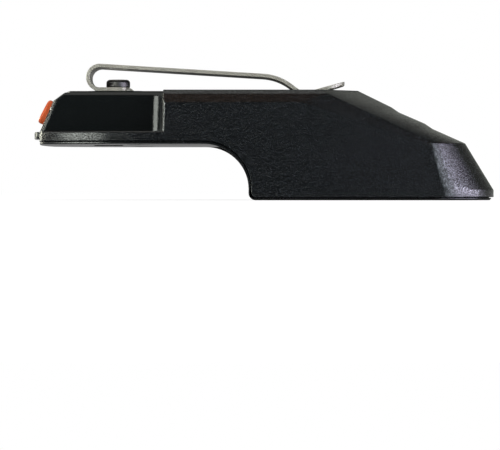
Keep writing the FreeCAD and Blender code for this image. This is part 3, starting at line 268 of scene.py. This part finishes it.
def moulded(name, piece, facts):
    material, recipe = newMaterial(name)
    spark = recipe.noise(piece["grain"], detail=2.0)
    cloud = recipe.noise(facts["cloud"])
    mean = (facts["cloudRoughness"] + facts["grainRoughness"]) * noiseMean
    lightest = lighter(piece["colour"], facts["clouded"])
    recipe.principled(Base_Color=recipe.colours(cloud.ramp(*facts["clouds"]), piece["colour"], lightest),
                      Roughness=cloud * facts["cloudRoughness"] + spark * facts["grainRoughness"]
                      + (piece["roughness"] - mean),
                      Normal=recipe.bump(spark, piece["depth"]))
    return material


springFacts = {                     # the clip's faces, brushed along the strip
    "dark": (0.40, 0.39, 0.36),
    "light": (0.48, 0.47, 0.43),
    "metallic": 0.85,
    "roughness": 0.34,
    "fine": 0.5,
    "stretch": (0.1, 1.6, 0.1),
    "fineRoughness": 0.16,
    "patch": 7.0,
    "patches": (0.3, 0.7),
    "patchRoughness": 0.08,
    "depth": 0.004,
}
shearedFacts = {                    # the strip's cut edges
    "dark": (0.46, 0.45, 0.39),
    "light": (0.55, 0.54, 0.47),
    "metallic": 0.45,
    "roughness": 0.40,
    "fine": 0.25,
    "stretch": (1.0, 1.0, 1.0),
    "fineRoughness": 0.14,
    "patch": 4.0,
    "patches": (0.3, 0.7),
    "patchRoughness": 0.06,
    "depth": 0.02,
}


def steel(name, facts):
    material, recipe = newMaterial(name)
    fine = recipe.noise(facts["fine"], vector=recipe.stretched(facts["stretch"]))
    patch = recipe.noise(facts["patch"])
    colour = recipe.colours(patch.ramp(*facts["patches"]), facts["dark"], facts["light"])
    recipe.principled(Base_Color=colour, Metallic=facts["metallic"],
                      Roughness=fine * facts["fineRoughness"] + patch * facts["patchRoughness"]
                      + facts["roughness"],
                      Normal=recipe.bump(fine, facts["depth"]))
    return material


platedFacts = {
    "fine": 0.35,
    "fineRoughness": 0.12,
    "patch": 3.0,
    "patches": (0.3, 0.7),
    "patchRoughness": 0.1,
    "darker": 0.82,
    "depth": 0.005,
}
platings = {
    "dark_screw": {"colour": (0.21, 0.205, 0.20), "roughness": 0.58},
    "brass_insert": {"colour": (0.72, 0.52, 0.24), "roughness": 0.32},
    "socket_steel": {"colour": (0.66, 0.67, 0.68), "roughness": 0.22},
    "contact_metal": {"colour": (0.80, 0.66, 0.36), "roughness": 0.25},
    "zinc_screw": {"colour": (0.60, 0.61, 0.60), "roughness": 0.28},
}


def plated(name, piece, facts):
    material, recipe = newMaterial(name)
    fine = recipe.noise(facts["fine"])
    patch = recipe.noise(facts["patch"], detail=2.0, roughness=0.5)
    mean = (facts["fineRoughness"] + facts["patchRoughness"]) * noiseMean
    darkest = lighter(piece["colour"], facts["darker"])
    recipe.principled(Base_Color=recipe.colours(patch.ramp(*facts["patches"]), darkest, piece["colour"]),
                      Metallic=1.0,
                      Roughness=fine * facts["fineRoughness"] + patch * facts["patchRoughness"]
                      + (piece["roughness"] - mean),
                      Normal=recipe.bump(fine, facts["depth"]))
    return material


laminateFacts = {
    "mask": (0.012, 0.075, 0.028),
    "overCopper": (0.03, 0.17, 0.06),
    "copperShare": 0.55,            # of that colour over a track
    "padColour": (0.62, 0.55, 0.34),
    "area": 9.0,                    # size of the areas with tracks one way or the other
    "lengthwise": 0.52,             # noise values above or below which an area has them
    "crosswise": 0.44,
    "padded": 0.5,
    "alongPitch": 1.6,
    "alongHalf": 0.28,              # half a track's width
    "acrossPitch": 2.2,
    "acrossHalf": 0.3,
    "padPitch": (4.4, 4.8),
    "padRadius": 0.45,
    "weave": 0.6,
    "weaveRoughness": 0.1,
    "roughness": 0.3,
    "weaveHeight": 0.2,             # of a track's height
    "depth": 0.03,
}


def laminate(facts):
    material, recipe = newMaterial("board_laminate")
    x, y = recipe.axes("XY")
    area = recipe.noise(facts["area"], detail=1.0, roughness=0.4)
    lengthwise, crosswise = area > facts["lengthwise"], area < facts["crosswise"]
    along = (y.repeated(facts["alongPitch"] * mm) < facts["alongHalf"] * mm) * lengthwise
    across = (x.repeated(facts["acrossPitch"] * mm) < facts["acrossHalf"] * mm) * crosswise
    tracks = along | across
    offX, offY = [value.repeated(pitch * mm) for value, pitch in zip((x, y), facts["padPitch"])]
    pads = (offX * offX + offY * offY < (facts["padRadius"] * mm) ** 2) * (area > facts["padded"])
    weave = recipe.noise(facts["weave"], detail=2.0, roughness=0.5)
    mask = recipe.colours(tracks * facts["copperShare"], facts["mask"], facts["overCopper"])
    recipe.principled(Base_Color=recipe.colours(pads, mask, facts["padColour"]), Metallic=pads,
                      Roughness=weave * facts["weaveRoughness"] + facts["roughness"],
                      Normal=recipe.bump(tracks + weave * facts["weaveHeight"], facts["depth"]))
    return material


tin = {"colour": (0.62, 0.62, 0.60), "metallic": 1.0, "roughness": 0.30}
gold = {"colour": (0.72, 0.55, 0.24), "metallic": 1.0, "roughness": 0.26}
aluminium = {"colour": (0.70, 0.70, 0.72), "metallic": 1.0, "roughness": 0.22}
darkEpoxy = {"colour": (0.012, 0.012, 0.013), "metallic": 0.0, "roughness": 0.42}
pressedPowder = {"colour": (0.045, 0.045, 0.05), "metallic": 0.0, "roughness": 0.62}
ceramic = {"colour": (0.75, 0.72, 0.66), "metallic": 0.0, "roughness": 0.45}
componentFacts = {
    "speck": 0.3,
    "speckRoughness": 0.12,
    "speckDepth": 0.008,
    "leadTop": 0.36,                # above the board
    "canFootTop": 0.81,
    "canMarked": 0.3,               # share of a can's top that is dark
    "canPrint": 0.1,
    "inductorCap": 0.31,            # length of the tinned ends
    "fuseCap": 2.21,
    "headerBlock": 2.61,
    "slack": 0.01,
}
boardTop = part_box("main_board")[1][2] / mm
wide = 999                          # further than any piece reaches


def ends(name):  # a node's low and high corner, in mm
    return [[value / mm for value in corner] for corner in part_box(name)]


def twoTone(material, recipe, mask, first, second):
    speck = recipe.noise(componentFacts["speck"])
    mixed = {key: mask * (second[key] - first[key]) + first[key] for key in ("metallic", "roughness")}
    recipe.principled(Base_Color=recipe.colours(mask, first["colour"], second["colour"]),
                      Metallic=mixed["metallic"],
                      Roughness=mixed["roughness"] + (speck - noiseMean) * componentFacts["speckRoughness"],
                      Normal=recipe.bump(speck, componentFacts["speckDepth"]))
    return material


def packages(facts):  # moulded bodies above their tinned leads
    material, recipe = newMaterial("chip_plastic")
    leads = recipe.box((-wide, -wide, -wide), (wide, wide, boardTop + facts["leadTop"]))
    return twoTone(material, recipe, leads, darkEpoxy, tin)


def cans(facts):  # aluminium above a black foot, with a dark sector on each top
    material, recipe = newMaterial("can_aluminium")
    dark = recipe.box((-wide, -wide, -wide), (wide, wide, boardTop + facts["canFootTop"]))
    for name in ("input_capacitors", "output_capacitors"):
        low, high = ends(name)
        edge = low[0] + (high[0] - low[0]) * facts["canMarked"]
        dark = dark | recipe.box((low[0], -wide, high[2] - facts["canPrint"]),
                                 (edge, wide, high[2] + facts["canPrint"]))
    return twoTone(material, recipe, dark, aluminium, darkEpoxy)


def capped(name, node, cap, middle):  # a body between tinned ends
    material, recipe = newMaterial(name)
    low, high = ends(node)
    between = recipe.box((low[0] + cap, -wide, -wide), (high[0] - cap, wide, wide))
    return twoTone(material, recipe, between, tin, middle)


def headerStrip(facts):
    material, recipe = newMaterial("header_metal")
    start = ends("switch_header")[1][0] - facts["headerBlock"]
    block = recipe.box((start, -wide, boardTop - facts["slack"]), (wide, wide, wide))
    return twoTone(material, recipe, block, gold, darkEpoxy)


finishes = {
    "housing_plastic": housingPlastic(housingFacts),
    "spring_steel": steel("spring_steel", springFacts),
    "board_laminate": laminate(laminateFacts),
    "header_metal": headerStrip(componentFacts),
    "ferrite": capped("ferrite", "power_inductors", componentFacts["inductorCap"], pressedPowder),
    "can_aluminium": cans(componentFacts),
    "chip_plastic": packages(componentFacts),
    "fuse_metal": capped("fuse_metal", "input_fuse", componentFacts["fuseCap"], ceramic),
}
for name, piece in mouldings.items():
    finishes[name] = moulded(name, piece, mouldedFacts)
for name, piece in platings.items():
    finishes[name] = plated(name, piece, platedFacts)
print("finishes:", len(finishes))


# Pieces: merged copies of the solids' meshes with rounded edges

slots = {part["node"]: part["material_slot"] for part in frame["record"]["subparts"]}
bodies = {node: body for body, nodes in frame["record"]["behaviour"]["bodies"].items() for node in nodes}
rounds = {                          # radius of the edges, in mm
    "upper_housing": 0.14,
    "rail_frame": 0.14,
    "belt_clip_tab": 0.1,
    "belt_clip_bend": 0.1,
    "belt_clip_arm": 0.1,
    "clip_screw": 0.06,
    "power_button": 0.06,
    "terminal_block": 0.12,
    "main_board": 0.05,
    "positive_blade": 0.12,
    "negative_blade": 0.12,
    "signal_blades": 0.12,
}
meshFacts = {
    "weld": 0.002,
    "flatAngle": 0.6,
    "creaseAngle": 12.0,            # a solid's edge that turns by less runs on smoothly
    "plainRound": 0.04,
    "segments": 2,
    "stray": 0.8,                   # share of the radius that a rounded edge may lie off the solid
    "shadingAngle": 50.0,
    "cutFacing": 0.3,               # a strip's face that turns sideways by more is a cut edge
}


def dressed(name, facts):
    shape = bmesh.new()
    shape.from_mesh(frame["nodes"][name].data)
    for edge in shape.edges:
        edge.seam = edge.is_boundary     # the solid's own edges, before they are joined
    bmesh.ops.remove_doubles(shape, verts=shape.verts, dist=facts["weld"] * mm)
    bmesh.ops.dissolve_limit(shape, angle_limit=math.radians(facts["flatAngle"]), verts=shape.verts,
                             edges=shape.edges, delimit={"SEAM"})
    creases = [edge for edge in shape.edges if edge.seam and len(edge.link_faces) == 2
               and edge.calc_face_angle() > math.radians(facts["creaseAngle"])]
    surface = BVHTree.FromBMesh(shape)
    radius = rounds.get(name, facts["plainRound"]) * mm
    bmesh.ops.bevel(shape, geom=creases, offset=radius, offset_type="OFFSET",
                    segments=facts["segments"], profile=0.5, affect="EDGES", clamp_overlap=False,
                    material=-1)
    for vertex in shape.verts:
        nearest, _, _, distance = surface.find_nearest(vertex.co)
        if distance > radius * facts["stray"]:      # thrown off where edges crowd
            vertex.co = nearest
    for edge in shape.edges:
        edge.seam = False
    data = bpy.data.meshes.new(name + "_dressed")
    shape.to_mesh(data)
    shape.free()
    data.shade_smooth()
    data.set_sharp_from_angle(angle=math.radians(facts["shadingAngle"]))
    made = bpy.data.objects.new(name + "_dressed", data)
    scene.collection.objects.link(made)
    even = made.modifiers.new("even", "WEIGHTED_NORMAL")
    even.keep_sharp = True
    data.materials.append(finishes[slots[name]])
    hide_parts(name)
    return made


def showCutEdges(made, finish, facing):  # a strip's sides are sheared, its faces brushed
    made.data.materials.append(finish)
    for face in made.data.polygons:
        face.material_index = int(abs(face.normal.y) > facing)


sheared = steel("sheared_steel", shearedFacts)
for name in frame["nodes"]:
    made = dressed(name, meshFacts)
    if slots[name] == "spring_steel":
        showCutEdges(made, sheared, meshFacts["cutFacing"])
    if name == "belt_clip_bend":
        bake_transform(made)
    else:
        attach(made, bodies[name])
print("pieces:", len(frame["nodes"]))


# Camera, as far from the object as the photograph was taken

cameraFacts = {
    "nearSide": -37.0,              # the side of the object that faces the lens
    "distance": 900.0,              # from that side to the lens
    "shownWidth": 131.58,           # what the picture's width takes in at that side
    "middle": -3.105,               # along the object
    "height": 2.5,                  # of the lens above the rim
    "axisRow": 190.8,               # the picture's row at the lens's height
    "columns": 500,
    "rows": 450,
    "sensor": 36.0,
    "nearest": 50,
    "farthest": 20000,
}


def makeCamera(facts):
    data = bpy.data.cameras.new("camera")
    data.sensor_width = facts["sensor"]
    data.lens = data.sensor_width * facts["distance"] / facts["shownWidth"]
    data.shift_y = (facts["axisRow"] - facts["rows"] / 2) / facts["columns"]
    data.clip_start = facts["nearest"] * mm
    data.clip_end = facts["farthest"] * mm
    lens = bpy.data.objects.new("camera", data)
    lens.location = Vector((facts["middle"], facts["nearSide"] - facts["distance"], facts["height"])) * mm
    lens.rotation_euler = (math.radians(90), 0, 0)      # level, looking along +Y
    scene.collection.objects.link(lens)
    scene.camera = lens


makeCamera(cameraFacts)


# Floor, softboxes that only reflections see, lamps and world

floorFacts = {
    "size": (6000, 6000),
    "colour": (0.9, 0.9, 0.9, 1),
    "glow": 0.6,                    # how much of the floor's white is its own
    "level": 1.3,
    "mirrored": 0.98,               # how much of it is in a reflection
    "front": (-50, -30),            # where the floor before the object turns into that behind it
    "levelFront": 0.05,             # what they and the strip under the object reflect as
    "levelBehind": 0.5,
    # the strip under the object reflects darker than the floor around it: painted shade
    "paintedShadeLevel": 0.08,
    "paintedShadeLow": (-64.0, -37.0, -1.0),
    "paintedShadeHigh": (64.0, 37.0, 1.0),
}
worldFacts = {
    "diffuse": 0.6,
    "front": 0.06,                  # what the surroundings reflect as, by direction
    "around": 0.35,
    "right": 0.5,
    "frontTurn": (-0.35, 0.1),      # between which parts of a direction it changes
    "rightTurn": (0.1, 0.5),
    "backTurn": (0.85, 0.98),
    "tint": (0.97, 1.0, 0.91),      # of what is reflected
}
softboxAim = (0, 0, 20)
softboxes = {
    "left_box": {
        "size": (760, 250), "place": (-730, -690, 110), "level": 12.0, "colour": (0.98, 1.03, 0.95, 1)},
    "right_box": {
        "size": (1200, 250), "place": (930, -450, 110), "level": 16.0, "colour": (0.95, 0.91, 1.14, 1)},
    "right_front_box": {
        "size": (400, 250), "place": (520, -900, 110), "level": 5.5, "colour": (0.9, 1, 1.1, 1)},
    "back_left_box": {
        "size": (900, 250), "place": (-800, 600, 110), "level": 11.0, "colour": (1.05, 1.05, 0.85, 1)},
    "side_box": {
        "size": (500, 260), "place": (-1000, -100, 420), "level": 4.0, "colour": (1, 1, 0.94, 1)},
    "front_box": {
        "size": (360, 260), "place": (30, -734, 700), "level": 0.65, "colour": (1, 0.6, 0.35, 1)},
    "top_box": {
        "size": (1000, 900), "place": (-250, 0, 950), "level": 0.95, "colour": (1, 1, 0.94, 1)},
}
lampAim = (0, 0, 15)
lamps = {
    "left_lamp": {"place": (-700, -900, 250), "size": 500, "power": 4.0},
    "right_lamp": {"place": (800, -900, 250), "size": 500, "power": 4.0},
}


def turned(place, aim, axis):  # so that the axis points from the place to the aim
    return (Vector(aim) - Vector(place)).to_track_quat(axis, "Y").to_euler()


def stagePlane(name, size, place, turn, material):
    shape = bmesh.new()
    bmesh.ops.create_grid(shape, x_segments=1, y_segments=1, size=0.5)  # one metre wide
    bmesh.ops.scale(shape, vec=Vector((*size, 1)) * mm, verts=shape.verts)
    data = bpy.data.meshes.new(name)
    shape.to_mesh(data)
    shape.free()
    plane = bpy.data.objects.new(name, data)
    plane.location = Vector(place) * mm
    plane.rotation_euler = turn
    scene.collection.objects.link(plane)
    data.materials.append(material)


def makeFloor(facts):
    material, recipe = newMaterial("floor_white")
    y = recipe.axes("Y")[0]
    frontStart, frontEnd = [value * mm for value in facts["front"]]
    glossy = recipe.path("Is Glossy Ray")
    seen = recipe.seen()
    # the floor under the object is painted darker in reflections, as painted shade
    paintedShade = recipe.box(facts["paintedShadeLow"], facts["paintedShadeHigh"])
    around = y.ramp(frontStart, frontEnd, facts["levelFront"], facts["levelBehind"]) * (1 - paintedShade)
    level = (around + paintedShade * facts["paintedShadeLevel"]) * glossy + seen * facts["level"]
    glow = recipe.node("Emission", None, {"Strength": level})
    white = recipe.node("BsdfDiffuse", None, {"Color": facts["colour"]})
    share = glossy * facts["mirrored"] + seen * facts["glow"]
    recipe.surface(recipe.node("MixShader", None, [share, white, glow]))
    stagePlane("floor", facts["size"], (0, 0, 0), (0, 0, 0), material)


def makeSoftbox(name, facts):
    material, recipe = newMaterial(name)
    glow = recipe.node("Emission", None, {"Color": facts["colour"], "Strength": facts["level"]})
    clear = recipe.node("BsdfTransparent")
    recipe.surface(recipe.node("MixShader", None, [recipe.path("Is Glossy Ray"), clear, glow]))
    turn = turned(facts["place"], softboxAim, "Z")
    stagePlane(name, facts["size"], facts["place"], turn, material)


def makeWorld(facts):
    world = bpy.data.worlds.new("studio")
    scene.world = world
    recipe = Recipe(world)
    x, y = recipe.axes("XY", recipe.node("TexCoord", output="Generated"))
    front = y.ramp(*facts["frontTurn"], facts["front"], facts["around"])
    right = x.ramp(*facts["rightTurn"], 1.0, facts["right"]) | y.ramp(*facts["backTurn"])
    seen = recipe.seen()
    glossy = recipe.path("Is Glossy Ray")
    plain = 1 - (seen | glossy)
    strength = seen + glossy * (front * right) + plain * facts["diffuse"]
    tint = recipe.colours(glossy, (1, 1, 1), facts["tint"])
    background = recipe.node("Background", None, {"Color": tint, "Strength": strength})
    recipe.node("OutputWorld", None, {"Surface": background})


def makeLamp(name, facts):
    data = bpy.data.lights.new(name, "AREA")
    data.size = facts["size"] * mm
    data.energy = facts["power"]
    lamp = bpy.data.objects.new(name, data)
    lamp.location = Vector(facts["place"]) * mm
    lamp.rotation_euler = turned(facts["place"], lampAim, "-Z")
    lamp.visible_glossy = False
    scene.collection.objects.link(lamp)


makeFloor(floorFacts)
makeWorld(worldFacts)
for name, facts in softboxes.items():
    makeSoftbox(name, facts)
for name, facts in lamps.items():
    makeLamp(name, facts)
scene.view_settings.view_transform = "Standard"
print("studio:", len(softboxes), "softboxes")
